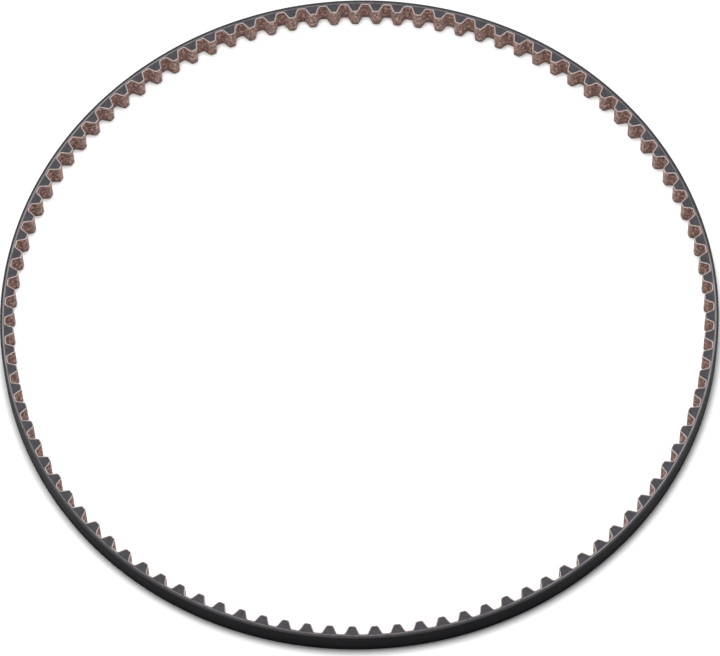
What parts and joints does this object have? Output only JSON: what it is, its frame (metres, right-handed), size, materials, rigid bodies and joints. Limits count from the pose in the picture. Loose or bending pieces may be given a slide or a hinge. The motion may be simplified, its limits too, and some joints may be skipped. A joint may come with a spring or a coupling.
{
  "type": "timing belt",
  "caption": "Narrow endless rubber timing belt with deep rounded teeth on the inside, a woven tooth facing and wound tensile cords.",
  "frame": {"origin": "middle of the free loop, on the plane of the lower cut edge that the belt lies on", "axes": "+Z across the belt's width, from the lower cut edge to the upper one; +Y along the free loop's longer axis; +X along its shorter axis"},
  "size_m": [0.3068, 0.3106, 0.0106],
  "materials": {
    "back_rubber": "ground matt back, knife-cut edges",
    "cord_glass": "rubber-coated twisted glass yarn",
    "tooth_rubber": "knife-cut edges",
    "tooth_facing": "rubber-treated woven nylon, pale at the cut"
  },
  "bodies": {
    "root": {"back_rubber": "back_rubber", "tensile_cord_s": "cord_glass", "tensile_cord_z": "cord_glass", "tooth_rubber": "tooth_rubber", "tooth_facing": "tooth_facing"}
  },
  "joints": []
}
